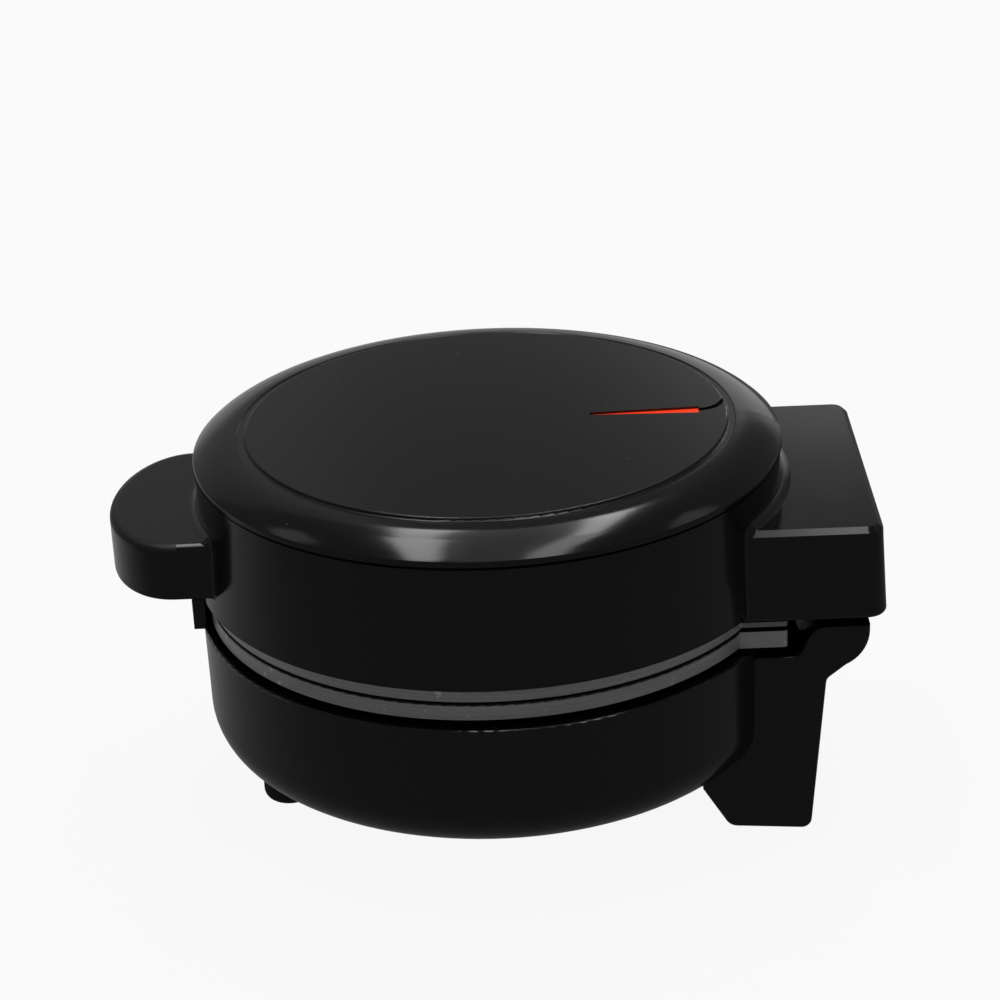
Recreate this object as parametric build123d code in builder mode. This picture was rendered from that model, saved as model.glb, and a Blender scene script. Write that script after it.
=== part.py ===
from build123d import *
import os
from math import cos, radians, sin, sqrt, tan

os.makedirs("parts", exist_ok=True)

# A small round waffle maker: a bowl-shaped base on a rear leg and two front feet, and a lid
# with a handle on one side and a hinge block on the other. Millimetres, +Z up, the cooker's
# round axis on Z, the hinge towards +X and the table at z = 0. Heights and drops are measured
# from the plane where the two plates meet.

# Stance and fits
gap_z = 50.3            # height of the plane where the two plates meet
plate_gap = 0.2         # half the gap left between the closed plates
clearance = 0.3         # between pieces that don't touch
running = 0.05          # radial clearance of a turning or sliding fit

# Plates, cast
plate_r = 63.0
flange_t = 3.5
flange_edge = 0.4
flange_w = 14.0         # from the cavity's rim to the plate's edge
lug_half_w = 35.4
lug_corner = 0.8
upper_lug_rise = 0.7    # its underside above the flange's face
upper_lug_t = 1.1
lower_lug_t = 3.8
cavity_depth = 8.5
cavity_draft = 10.0     # degrees
plate_wall = 3.2
peg_pitch = 12.6
peg_base = 9.4
peg_height = 5.2
peg_draft = 12.0        # degrees
peg_rim_gap = 2.2
grid_lines = 7

# Shells around the plates
rim_margin = 1.8        # shells outside the plates
lid_wall = 2.2
lid_height = 36.4       # crown
crown_inset = 8.8       # crown's edge inside the plates' edge
lip_margin = 1.0        # lip outside the plates
lip_height = 31.9
lip_band = 1.1
lip_step = 0.5
lip_edge = 0.6          # rounding along the lip's top
skirt_blend = 2.2       # hollow rounding where the handle and the block meet the skirt
shoulder_bulge = 1.1    # how far the shoulder rises over the line from crown to lip
step_inset = 1.8        # the raised crown's step inside the shoulder
step_h = 0.7
step_edge = 0.4         # rounding along the step's top
step_foot = 0.4         # hollow rounding along its foot
step_draft = 0.15       # how far the foot stands out from the step's top
channel_h = 0.2         # from the step's foot up to the shoulder
boss_wall = 0.1         # how far a boss sinks into the wall beside it

# Handle
handle_out = 20.4       # beyond the plates' edge
handle_half_w = 26.0
handle_depth = 16.0     # how far its rounded end runs out
handle_bottom = 8.0
handle_top = 20.4
handle_edge = 1.7

# Hinge block
block_over = 12.4       # beyond the hinge axis
block_half_w = 35.9
block_top = 22.5
block_draft = 3.0       # degrees
block_corner = 4.5
block_bevel = 1.1
block_wall = 1.7
block_edge = 1.1        # rounding along its bottom

# Indicator in the crown
slot_step_gap = 6.0     # from the slot's wide end to the crown's step
slot_l = 23.8
slot_start_w = 1.3
slot_end_w = 3.5
tail_w = 1.4            # curved groove from the slot's wide end to the crown's step
tail_depth = 0.6
tail_angle = 7.0        # degrees round the crown, where the tail runs into the step
lens_inset = 0.5
lens_gap = 0.1
lens_flange = 2.0
lens_flange_t = 1.2
lamp_r = 2.8
lamp_l = 16.0
lamp_tip = 1.6
holder_r = 4.0
holder_l = 9.0

# Base shell
base_wall = 2.4
base_drop = 35.2        # underside
base_rim_drop = 5.2
base_rim_edge = 0.5     # rounding outside the rim
base_round = 10.4
base_lean = 0.2         # how far the wall leans out above the rounding
tab_out = 3.0           # tab below the handle, beyond the plates
tab_half_w = 12.0
tab_rise = 1.0
window_w = 24.0         # window for the wires, from bowl to leg
window_h = 12.0

# Hinge
hinge_out = 8.0         # hinge axis beyond the plates' edge
pivot_drop = 2.0
corbel_r = 8.8
corbel_flat = 1.5       # corbel's flat top above the axis
corbel_neck = 2.4       # from the corbel's underside down to the leg
corbel_turn = 64.5      # degrees of its rounding
hinge_side = 0.6        # on each side, between the leg and the block
rod_r = 2.0
barrel_r = 6.4
barrel_half_w = 20.0
ear_r = 6.2
ear_t = 5.0
ear_half_w = 5.0
ear_side = 0.4
slot_r = 9.6
bracket_t = 2.0
bracket_boss_h = 4.0
bracket_screw_out = 2.0
bracket_screw_y = 12.0

# Rear leg
leg_wall = 2.6
leg_inset = 0.3         # outer side inside the hinge axis, just under the corbel
leg_lean = 4.9          # degrees, its outer side from upright
leg_depth = 20.8        # from the outer side to the inner bottom corner
leg_top_drop = 7.4
leg_outer_z = 0.5       # bottom edges above the table
leg_inner_z = 1.7
leg_gusset = 5.8        # how far the inner corner runs under the bowl
leg_gusset_rise = 9.4
leg_fillet = 2.2
leg_edge = 0.7          # rounding along its two sides
gusset_fillet = 3.0
corbel_fillet = 2.0
corbel_top_fillet = 4.0
shelf_out = 3.1         # from the hinge axis back to the corbel's top edge
shelf_run = 3.2         # length of the slope between the corbel's top and the leg's top

# Feet
foot_r = 6.0
foot_h = 6.0
foot_edge = 2.4
foot_in = 15.0          # front feet inside the plates' edge
foot_y = 9.4
foot_stem_r = 2.6
foot_stem_h = 5.0
post_wall = 0.5         # front posts wider than their feet
rear_foot_in = 11.0     # from the hinge axis inwards
rear_foot_y = 26.0
rear_foot_r = 4.5
rear_foot_t = 2.4

# Cord bushing in the leg
bushing_z = 19.3
bushing_r = 4.6
bushing_seat = 3.4
bushing_lip_r = 6.4
bushing_lip_t = 1.6
bushing_edge = 0.8
bushing_bore_r = 3.2
bushing_floor = 1.9

# Heating and control
element_tube_r = 3.2
element_rim_gap = 4.1   # between the tube and its shield's rim
element_rib = 2.6       # height of the rib that holds the tube
element_rib_w = 1.6     # rib beside the tube
element_gap = 44.0      # degrees left open on the hinge side
element_pin_r = 1.4
element_pin_l = 10.0
shield_t = 0.8
shield_rim = 3.0
shield_lift = 7.6       # from a plate's back to its shield
shield_hole = 1.0       # margin of the shield's holes round pins and sensor
shield_post_r = 3.2
shield_post_gap = 4.0   # between the shield's posts and the tube's rib
sensor_r = 8.0
sensor_h = 5.0
sensor_step = 1.5
sensor_cap_h = 4.5
blade_l = 3.5
blade_w = 4.0
blade_t = 0.8
blade_x = 3.5
terminal_w = 12.0
terminal_l = 22.0
terminal_h = 8.0
terminal_edge = 0.8
terminal_pitch = 7.0
terminal_hole_r = 1.6

# Bottom cover
cover_t = 1.4
cover_seat_w = 7.0
cover_margin = 2.0      # from the cover's edge to the plate's bosses
cover_rim_t = 1.4
cover_rim_h = 2.5
cover_boss_r = 3.4
cover_boss_h = 6.0
vent_rim_gap = 3.0      # between the vents and the cover's rim
vent_l = 14.0
vent_w = 2.6
vents = 8

# Screws and the posts they go in
screw_r = 1.5
screw_head_r = 3.0
screw_head_t = 1.8
countersink = 30.0      # degrees, half angle
pan_head_r = 2.8
screw_sink = 6.0        # how deep the plate's screws sit in the base
plate_post_r = 4.2
plate_post_l = 6.3
plate_screw_l = 17.0
boss_margin = 0.8       # base bosses wider than the plate's posts
shield_edge_gap = 0.6
flange_boss_h = 12.0
flange_screw_l = 12.0
shield_screw_l = 6.0
cover_screw_l = 6.0
bracket_screw_l = 6.0

# Worked out from the sizes above
cavity_r = plate_r - flange_w
dish_r = cavity_r + plate_wall
dish_back = cavity_depth + plate_wall
shield_level = dish_back + shield_lift
skirt_end = plate_gap + flange_t
skirt_r = plate_r + rim_margin
skirt_in_r = skirt_r - lid_wall
lip_r = plate_r + lip_margin
crown_r = plate_r - crown_inset
crown_under = lid_height - lid_wall
crown_z = gap_z + lid_height
step_r = crown_r - step_inset
slot_end = step_r - slot_step_gap
slot_start = slot_end - slot_l
boss_out_r = skirt_in_r + boss_wall
flange_boss_r = (boss_out_r - dish_r - clearance) / 2
flange_screw_ring = boss_out_r - flange_boss_r
plate_post_ring = dish_r - plate_post_r - clearance
post_end = dish_back + plate_post_l
base_boss_r = plate_post_r + boss_margin
shield_r = plate_post_ring - base_boss_r - shield_edge_gap
element_r = shield_r - shield_t - element_rim_gap - element_tube_r
shield_post_ring = element_r - element_tube_r - element_rib_w - shield_post_gap - shield_post_r
cover_r = plate_post_ring - base_boss_r - cover_margin
cover_hole_r = cover_r - cover_seat_w
cover_screw_ring = (cover_r + cover_hole_r) / 2
vent_ring = cover_hole_r - clearance - cover_rim_t - vent_rim_gap - vent_l / 2
foot_x = foot_in - plate_r
pivot_x = plate_r + hinge_out
pivot_z = gap_z - pivot_drop
lug_reach = pivot_x - corbel_r
block_reach = pivot_x + block_over
block_bottom = plate_gap + upper_lug_rise + upper_lug_t
handle_x = plate_r + handle_out - handle_depth
leg_half_w = block_half_w - block_wall - hinge_side
bracket_top = block_top - lid_wall - bracket_boss_h
ears_end = barrel_half_w + ear_side + ear_t
base_floor_z = gap_z - base_drop
base_rim_z = gap_z - base_rim_drop
base_foot_r = skirt_r - base_lean - base_round

quarter_angles = [45, 135, 225, 315]
shield_angles = [60, 180, 300]
cover_angles = [0, 120, 240]
pin_angle = element_gap / 2 + 4
pin_angles = [pin_angle, 360 - pin_angle]
both_sides = [1, -1]


def level(height):
    """The horizontal plane at a height above the plate gap, or below it when negative."""
    return Plane.XY.offset(gap_z + height)


def outward(side, distance=0):
    """A horizontal plane that faces away from the plate gap: side is 1 up, -1 down."""
    return Plane(origin=(0, 0, gap_z + side * distance), x_dir=(1, 0, 0), z_dir=(0, 0, side))


def hinge_plane(y):
    """The upright plane across the hinge axis at y, facing -Y, with the axis at its origin."""
    return Plane(origin=(pivot_x, y, pivot_z), x_dir=(1, 0, 0), z_dir=(0, -1, 0))


def ring_places(radius, angles):
    """Points at the given angles on a circle."""
    return [(radius * cos(radians(a)), radius * sin(radians(a))) for a in angles]


def save(piece, name):
    """Label a finished piece and write it as one STEP file."""
    piece.part.label = name
    export_step(piece.part, f"parts/{name}.step")


def peg_places():
    """Centres of the grid pegs that fit inside the round cavity."""
    half = (grid_lines - 1) / 2
    steps = [(i - half) * peg_pitch for i in range(grid_lines)]
    corner = peg_base / 2
    reach = cavity_r - peg_rim_gap
    places = [(x, y) for x in steps for y in steps]
    return [(x, y) for x, y in places if sqrt((abs(x) + corner) ** 2 + (abs(y) + corner) ** 2) < reach]


def waffle_plate(side, lug_rise, lug_t, housing_posts):
    """A cast plate: flange and hinge lug, a round dish with a grid of pegs, a rib and posts."""
    quarter_places = ring_places(flange_screw_ring, quarter_angles)
    if housing_posts:
        quarter_places = ring_places(plate_post_ring, quarter_angles)
    shield_places = ring_places(shield_post_ring, shield_angles)
    with BuildPart() as plate:
        with BuildSketch(outward(side, plate_gap)):
            Circle(plate_r)
        extrude(amount=flange_t)
        fillet(plate.edges().group_by(Axis.Z)[0 if side > 0 else -1], radius=flange_edge)
        with BuildSketch(outward(side, plate_gap + lug_rise)) as lug:
            with Locations(((lug_reach + cavity_r) / 2, 0)):
                Rectangle(lug_reach - cavity_r, 2 * lug_half_w)
            fillet(lug.vertices().group_by(Axis.X)[-1], radius=lug_corner)
        extrude(amount=lug_t)
        with BuildSketch(outward(side, plate_gap)):
            Circle(dish_r)
        extrude(amount=dish_back - plate_gap)
        # round cavity, drafted for release, and the pegs that mould the waffle's pockets
        with BuildSketch(outward(side, plate_gap)):
            Circle(cavity_r)
        extrude(amount=cavity_depth - plate_gap, taper=cavity_draft, mode=Mode.SUBTRACT)
        with BuildSketch(outward(side, cavity_depth)):
            with Locations(*peg_places()):
                Rectangle(peg_base, peg_base)
        extrude(amount=-peg_height, taper=peg_draft)
        # rib with the half-round bed of the heating tube
        with BuildSketch(outward(side, dish_back)):
            Circle(element_r + element_tube_r + element_rib_w)
            Circle(element_r - element_tube_r - element_rib_w, mode=Mode.SUBTRACT)
        extrude(amount=element_rib)
        with BuildSketch(Plane.XZ):
            with Locations((element_r, gap_z + side * (dish_back + element_rib))):
                Circle(element_tube_r)
        revolve(axis=Axis.Z, mode=Mode.SUBTRACT)
        # posts of the heat shield
        with BuildSketch(outward(side, dish_back)):
            with Locations(*shield_places):
                Circle(shield_post_r)
        extrude(amount=shield_lift)
        with BuildSketch(outward(side, shield_level)):
            with Locations(*shield_places):
                Circle(screw_r)
        extrude(amount=shield_t - shield_screw_l, mode=Mode.SUBTRACT)
        if housing_posts:
            # tapped posts that stand on the housing's bosses
            with BuildSketch(outward(side, dish_back)):
                with Locations(*quarter_places):
                    Circle(plate_post_r)
            extrude(amount=plate_post_l)
            with BuildSketch(outward(side, post_end)):
                with Locations(*quarter_places):
                    Circle(screw_r)
            extrude(amount=-plate_post_l, mode=Mode.SUBTRACT)
        else:
            # countersunk holes through the flange
            with BuildSketch(outward(side, plate_gap)):
                with Locations(*quarter_places):
                    Circle(screw_head_r)
            extrude(amount=screw_head_t, taper=countersink, mode=Mode.SUBTRACT)
            with BuildSketch(outward(side, plate_gap)):
                with Locations(*quarter_places):
                    Circle(screw_r + running)
            extrude(amount=flange_t, mode=Mode.SUBTRACT)
    return plate


# Waffle plates
lower_plate = waffle_plate(-1, 0, lower_lug_t, housing_posts=True)
save(lower_plate, "lower_plate")
upper_plate = waffle_plate(1, upper_lug_rise, upper_lug_t, housing_posts=False)
save(upper_plate, "upper_plate")

def is_side_seam(edge):
    """Whether an edge is where the handle or the block meets the skirt's outside."""
    middle = edge @ 0.5
    height = middle.Z - gap_z
    drop = (height - skirt_end) / (lip_height - lip_band - lip_step - skirt_end)
    skirt_here = skirt_r + drop * (lip_r - lip_step - skirt_r)
    on_skirt = abs(sqrt(middle.X**2 + middle.Y**2) - skirt_here) < running
    return on_skirt and handle_bottom + running < height < block_top + running


# Lid shell: crown, rounded shoulder, lip and skirt, with the handle and the hinge block
with BuildPart() as lid_housing:
    # handle
    with BuildSketch(level(handle_bottom)):
        with Locations((-handle_x, 0)):
            Ellipse(handle_depth, handle_half_w)
        with Locations((-handle_x / 2, 0)):
            Rectangle(handle_x, 2 * handle_half_w)
    extrude(amount=handle_top - handle_bottom)
    fillet(lid_housing.faces().sort_by(Axis.Z)[-1].edges(), radius=handle_edge)
    # hinge block
    with BuildSketch(level(block_bottom)) as block_plan:
        with Locations((block_reach / 2, 0)):
            Rectangle(block_reach, 2 * block_half_w)
        fillet(block_plan.vertices().group_by(Axis.X)[-1], radius=block_corner)
    extrude(amount=block_top - block_bottom, taper=block_draft)
    chamfer(lid_housing.faces().sort_by(Axis.Z)[-1].edges(), length=block_bevel)
    fillet(lid_housing.faces().sort_by(Axis.Z)[0].edges(), radius=block_edge)
    # cap of revolution
    with BuildSketch(Plane.XZ) as cap_side:
        with BuildLine():
            step_foot_z = crown_z - step_h
            shoulder_start = (crown_r, step_foot_z + channel_h)
            Polyline(
                (0, crown_z),
                (step_r, crown_z),
                (step_r + step_draft, step_foot_z),
                (crown_r - channel_h, step_foot_z),
                shoulder_start,
            )
            SagittaArc(shoulder_start, (lip_r, gap_z + lip_height), shoulder_bulge)
            Polyline(
                (lip_r, gap_z + lip_height),
                (lip_r, gap_z + lip_height - lip_band),
                (lip_r - lip_step, gap_z + lip_height - lip_band - lip_step),
                (skirt_r, gap_z + skirt_end),
                (0, gap_z + skirt_end),
                (0, crown_z),
            )
        make_face()
        for corner, radius in (
            ((step_r, crown_z), step_edge),
            ((step_r + step_draft, step_foot_z), step_foot),
            ((lip_r, gap_z + lip_height), lip_edge),
        ):
            fillet(cap_side.vertices().sort_by_distance(corner)[0], radius=radius)
    revolve(axis=Axis.Z)
    fillet(lid_housing.edges().filter_by(is_side_seam), radius=skirt_blend)
    # hollows of the handle and the block, open below, outside the cap
    with BuildSketch(level(handle_bottom)):
        with Locations((-handle_x, 0)):
            Ellipse(handle_depth - lid_wall, handle_half_w - lid_wall)
        with Locations((-handle_x / 2, 0)):
            Rectangle(handle_x, 2 * (handle_half_w - lid_wall))
    extrude(amount=handle_top - handle_bottom - lid_wall, mode=Mode.SUBTRACT)
    with BuildSketch(level(block_bottom)):
        with Locations(((block_reach - block_wall) / 2, 0)):
            Rectangle(block_reach - block_wall, 2 * (block_half_w - block_wall))
    extrude(amount=block_top - block_bottom - lid_wall, taper=block_draft, mode=Mode.SUBTRACT)
    revolve(cap_side.sketch, axis=Axis.Z)
    # hollow of the cap, with room for the plate's flange below the skirt
    with BuildSketch(Plane.XZ):
        with BuildLine():
            inner_lip = (lip_r - lip_step - lid_wall, gap_z + lip_height - lip_band - lid_wall)
            inner_crown = (crown_r - lip_step, gap_z + crown_under)
            Line((0, gap_z + crown_under), inner_crown)
            SagittaArc(inner_crown, inner_lip, shoulder_bulge)
            Polyline(
                inner_lip,
                (skirt_in_r, gap_z + skirt_end),
                (plate_r + clearance, gap_z + skirt_end),
                (plate_r + clearance, gap_z),
                (0, gap_z),
                (0, gap_z + crown_under),
            )
        make_face()
    revolve(axis=Axis.Z, mode=Mode.SUBTRACT)
    # bosses of the plate's screws, against the skirt
    with BuildSketch(level(skirt_end)):
        with Locations(*ring_places(flange_screw_ring, quarter_angles)):
            Circle(flange_boss_r)
    extrude(amount=flange_boss_h)
    with BuildSketch(level(skirt_end)):
        with Locations(*ring_places(flange_screw_ring, quarter_angles)):
            Circle(screw_r)
    extrude(amount=flange_screw_l - flange_t, mode=Mode.SUBTRACT)
    # bosses of the hinge bracket, under the block's roof
    bracket_screw_places = [(pivot_x + bracket_screw_out, side * bracket_screw_y) for side in both_sides]
    with BuildSketch(level(bracket_top)):
        with Locations(*bracket_screw_places):
            Circle(2 * screw_r)
            Circle(screw_r, mode=Mode.SUBTRACT)
    extrude(amount=bracket_boss_h + clearance)
    # indicator slot, widening towards the hinge
    with BuildSketch(level(lid_height)):
        with BuildLine():
            Polyline(
                (slot_start, slot_start_w / 2),
                (slot_end, slot_end_w / 2),
                (slot_end, -slot_end_w / 2),
                (slot_start, -slot_start_w / 2),
                close=True,
            )
        make_face()
    extrude(amount=-lid_wall, mode=Mode.SUBTRACT)
    # curved tail from the slot's wide end over the crown's step
    with BuildSketch(level(lid_height)):
        with BuildLine():
            tail_end = ring_places(crown_r - step_inset / 2, [tail_angle])[0]
            Spline((slot_end - tail_w / 2, 0), tail_end, tangents=[(1, 0), (1, 2)])
        trace(line_width=tail_w)
    extrude(amount=-tail_depth, mode=Mode.SUBTRACT)
save(lid_housing, "lid_housing")


def leg_side_x(z, inset=0):
    """X of the leg's outer side, or of a line inset from it, at a height above the table."""
    return pivot_x - leg_inset - inset - (corbel_end_z - z) * tan(radians(leg_lean))


# Base shell: a bowl with a rear leg and corbel for the hinge, and two front posts
corbel_end_z = pivot_z - corbel_r - corbel_neck
leg_top_z = gap_z - leg_top_drop
leg_inner_x = pivot_x - leg_inset - leg_depth
shelf_x = pivot_x - shelf_out
gusset_x = leg_inner_x - leg_gusset
gusset_z = leg_inner_z + leg_gusset_rise
inner_floor_z = base_floor_z + base_wall
front_foot_places = [(foot_x, side * foot_y) for side in both_sides]
rear_foot_places = [(pivot_x - rear_foot_in, side * rear_foot_y) for side in both_sides]
bushing_plane = Plane(
    origin=(leg_side_x(bushing_z), 0, bushing_z),
    x_dir=(0, 1, 0),
    z_dir=(cos(radians(leg_lean)), 0, -sin(radians(leg_lean))),
)

with BuildPart() as base_housing:
    # leg with the hinge corbel at its top, drawn from the side
    with BuildSketch(Plane.XZ) as leg_side:
        with BuildLine():
            corbel = CenterArc((pivot_x, pivot_z), corbel_r, 0, -corbel_turn)
            Polyline(
                corbel @ 1,
                (leg_side_x(corbel_end_z), corbel_end_z),
                (leg_side_x(leg_outer_z), leg_outer_z),
                (leg_inner_x, leg_inner_z),
                (gusset_x, gusset_z),
                (gusset_x, leg_top_z),
                (shelf_x - shelf_run, leg_top_z),
                (shelf_x, pivot_z + corbel_flat),
                (pivot_x + corbel_r, pivot_z + corbel_flat),
                corbel @ 0,
            )
        make_face()
        fillet(leg_side.vertices().group_by(Axis.Y)[0], radius=leg_fillet)
        fillet(leg_side.vertices().sort_by_distance((leg_inner_x, leg_inner_z))[0], radius=gusset_fillet)
        for corner, radius in (
            ((leg_side_x(corbel_end_z), corbel_end_z), corbel_fillet),
            ((shelf_x - shelf_run, leg_top_z), corbel_fillet),
            ((shelf_x, pivot_z + corbel_flat), corbel_top_fillet),
        ):
            fillet(leg_side.vertices().sort_by_distance(corner)[0], radius=radius)
    extrude(amount=leg_half_w, both=True)
    leg_sides = base_housing.faces().sort_by(Axis.Y)
    fillet(leg_sides[0].edges() + leg_sides[-1].edges(), radius=leg_edge)
    # room for the supply wires inside the leg
    with BuildSketch(Plane.XZ):
        with BuildLine():
            Polyline(
                (gusset_x, corbel_end_z),
                (leg_side_x(corbel_end_z, leg_wall), corbel_end_z),
                (leg_side_x(leg_outer_z, leg_wall), leg_outer_z + leg_wall),
                (leg_inner_x, leg_inner_z + leg_wall),
                (gusset_x, gusset_z + leg_wall),
                close=True,
            )
        make_face()
    extrude(amount=leg_half_w - leg_wall, both=True, mode=Mode.SUBTRACT)
    # front posts, down to their feet
    with BuildSketch(Plane.XY.offset(base_floor_z + base_wall / 2)):
        with Locations(*front_foot_places):
            Circle(foot_r + post_wall)
    extrude(amount=foot_h - base_floor_z - base_wall / 2, taper=1)
    # bowl, outside then inside
    with BuildSketch(Plane.XZ) as bowl_side:
        with BuildLine():
            round_end = (base_foot_r + base_round, base_floor_z + base_round)
            Line((0, base_floor_z), (base_foot_r, base_floor_z))
            TangentArc((base_foot_r, base_floor_z), round_end, tangent=(1, 0))
            Polyline(round_end, (skirt_r, base_rim_z), (0, base_rim_z), (0, base_floor_z))
        make_face()
        fillet(bowl_side.vertices().sort_by_distance((skirt_r, base_rim_z))[0], radius=base_rim_edge)
    revolve(axis=Axis.Z)
    with BuildSketch(Plane.XZ):
        with BuildLine():
            inner_end = (base_foot_r + base_round - base_wall, base_floor_z + base_round)
            Line((0, inner_floor_z), (base_foot_r, inner_floor_z))
            TangentArc((base_foot_r, inner_floor_z), inner_end, tangent=(1, 0))
            Polyline(
                inner_end,
                (skirt_r - base_wall, base_rim_z),
                (skirt_r - base_wall, gap_z),
                (0, gap_z),
                (0, inner_floor_z),
            )
        make_face()
    revolve(axis=Axis.Z, mode=Mode.SUBTRACT)
    # tab that stands up from the rim below the handle, just outside the plates
    tab_in_x = plate_r + clearance
    with BuildSketch(Plane.XY.offset(base_rim_z - tab_rise)):
        with Locations((-(plate_r + tab_out + tab_in_x) / 2, 0)):
            Rectangle(tab_out - clearance, 2 * tab_half_w)
    extrude(amount=base_rim_drop + 2 * tab_rise)
    # window from bowl to leg for the wires
    with BuildSketch(Plane.YZ.offset(base_foot_r)):
        with Locations((0, base_floor_z + base_round + window_h / 3)):
            Rectangle(window_w, window_h)
    extrude(amount=base_round + clearance, mode=Mode.SUBTRACT)
    # bosses that carry the plate, screwed from below
    with BuildSketch(Plane.XY.offset(base_floor_z + base_wall / 2)):
        with Locations(*ring_places(plate_post_ring, quarter_angles)):
            Circle(base_boss_r)
    extrude(amount=base_drop - base_wall / 2 - post_end)
    with BuildSketch(Plane.XY.offset(base_floor_z)):
        with Locations(*ring_places(plate_post_ring, quarter_angles)):
            Circle(screw_head_r + clearance)
    extrude(amount=screw_sink, mode=Mode.SUBTRACT)
    with BuildSketch(Plane.XY.offset(base_floor_z)):
        with Locations(*ring_places(plate_post_ring, quarter_angles)):
            Circle(screw_r + running)
    extrude(amount=base_drop - post_end, mode=Mode.SUBTRACT)
    # opening, seat and bosses of the bottom cover
    with BuildSketch(Plane.XY.offset(base_floor_z)):
        Circle(cover_r + clearance)
    extrude(amount=cover_t, mode=Mode.SUBTRACT)
    with BuildSketch(Plane.XY.offset(base_floor_z)):
        Circle(cover_hole_r)
    extrude(amount=base_wall, mode=Mode.SUBTRACT)
    with BuildSketch(Plane.XY.offset(base_floor_z + cover_t)):
        with Locations(*ring_places(cover_screw_ring, cover_angles)):
            Circle(cover_boss_r)
            Circle(screw_r, mode=Mode.SUBTRACT)
    extrude(amount=cover_boss_h)
    with BuildSketch(Plane.XY.offset(base_floor_z)):
        with Locations(*ring_places(cover_screw_ring, cover_angles)):
            Circle(screw_r)
    extrude(amount=base_wall, mode=Mode.SUBTRACT)
    # sockets of the front feet and recesses of the rear ones
    with BuildSketch(Plane.XY.offset(foot_h)):
        with Locations(*front_foot_places):
            Circle(foot_stem_r)
    extrude(amount=foot_stem_h, mode=Mode.SUBTRACT)
    with BuildSketch(Plane.XY):
        with Locations(*rear_foot_places):
            Circle(rear_foot_r + running)
    extrude(amount=rear_foot_t, mode=Mode.SUBTRACT)
    # hinge: a barrel between the two slots that the lid's ears turn in
    with BuildSketch(hinge_plane(barrel_half_w)):
        Circle(barrel_r)
    extrude(amount=2 * barrel_half_w)
    slot_w = ear_t + 2 * ear_side
    for y in (barrel_half_w + slot_w, -barrel_half_w):
        with BuildSketch(hinge_plane(y)):
            Circle(slot_r)
        extrude(amount=slot_w, mode=Mode.SUBTRACT)
    with BuildSketch(hinge_plane(barrel_half_w)):
        Circle(rod_r)
    extrude(amount=2 * barrel_half_w, mode=Mode.SUBTRACT)
    # seat of the cord bushing
    with BuildSketch(bushing_plane):
        Circle(bushing_r)
    extrude(amount=-bushing_seat, mode=Mode.SUBTRACT)
save(base_housing, "base_housing")

# Hinge bracket under the block's roof, with the two ears that turn on the rod
with BuildPart() as hinge_bracket:
    with BuildSketch(level(bracket_top)):
        with Locations((pivot_x, 0)):
            Rectangle(2 * ear_half_w, 2 * ears_end)
        with Locations(*bracket_screw_places):
            Circle(screw_r + running, mode=Mode.SUBTRACT)
    extrude(amount=-bracket_t)
    ear_h = bracket_top - bracket_t + pivot_drop
    for y in (ears_end, ear_t - ears_end):
        with BuildSketch(hinge_plane(y)):
            Circle(ear_r)
            with Locations((0, ear_h / 2)):
                Rectangle(2 * ear_half_w, ear_h)
            Circle(rod_r + running, mode=Mode.SUBTRACT)
        extrude(amount=ear_t)
save(hinge_bracket, "hinge_bracket")

# Rod, pressed into the barrel, free in the ears
with BuildPart() as hinge_rod:
    with BuildSketch(hinge_plane(ears_end)):
        Circle(rod_r)
    extrude(amount=2 * ears_end)
save(hinge_rod, "hinge_rod")


def element(side):
    """A tubular heating ring in its plate's rib, with two terminal pins."""
    start = radians(element_gap / 2)
    across = Plane(origin=(0, 0, 0), x_dir=(cos(start), sin(start), 0), z_dir=(sin(start), -cos(start), 0))
    with BuildPart() as tube:
        with BuildSketch(across):
            with Locations((element_r, gap_z + side * (dish_back + element_rib))):
                Circle(element_tube_r)
        revolve(axis=Axis.Z, revolution_arc=360 - element_gap)
        with BuildSketch(outward(side, dish_back + element_rib)):
            with Locations(*ring_places(element_r, pin_angles)):
                Circle(element_pin_r)
        extrude(amount=element_pin_l)
    return tube


def heat_shield(side):
    """A dished tin disc behind the element, with holes for its screws, the pins and the sensor."""
    with BuildPart() as shield:
        with BuildSketch(outward(side, shield_level)):
            Circle(shield_r)
            Circle(sensor_r + shield_hole, mode=Mode.SUBTRACT)
            with Locations(*ring_places(shield_post_ring, shield_angles)):
                Circle(screw_r + running, mode=Mode.SUBTRACT)
            with Locations(*ring_places(element_r, pin_angles)):
                Circle(element_pin_r + shield_hole, mode=Mode.SUBTRACT)
        extrude(amount=shield_t)
        with BuildSketch(outward(side, shield_level)):
            Circle(shield_r)
            Circle(shield_r - shield_t, mode=Mode.SUBTRACT)
        extrude(amount=-shield_rim)
    return shield


def disc_sensor(side):
    """A bimetal disc sensor on the back of a plate, with its two contact blades."""
    with BuildPart() as sensor:
        with BuildSketch(outward(side, dish_back)):
            Circle(sensor_r)
        extrude(amount=sensor_h)
        with BuildSketch(outward(side, dish_back + sensor_h)):
            Circle(sensor_r - sensor_step)
        extrude(amount=sensor_cap_h)
        with BuildSketch(outward(side, dish_back + sensor_h + sensor_cap_h)):
            with Locations((blade_x, 0), (-blade_x, 0)):
                Rectangle(blade_t, blade_w)
        extrude(amount=blade_l)
    return sensor


# Heating and control pieces behind each plate
for plate_name, side in (("lower", -1), ("upper", 1)):
    save(element(side), f"{plate_name}_element")
    save(heat_shield(side), f"{plate_name}_heat_shield")
save(disc_sensor(-1), "thermostat")
save(disc_sensor(1), "thermal_cutout")


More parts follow.
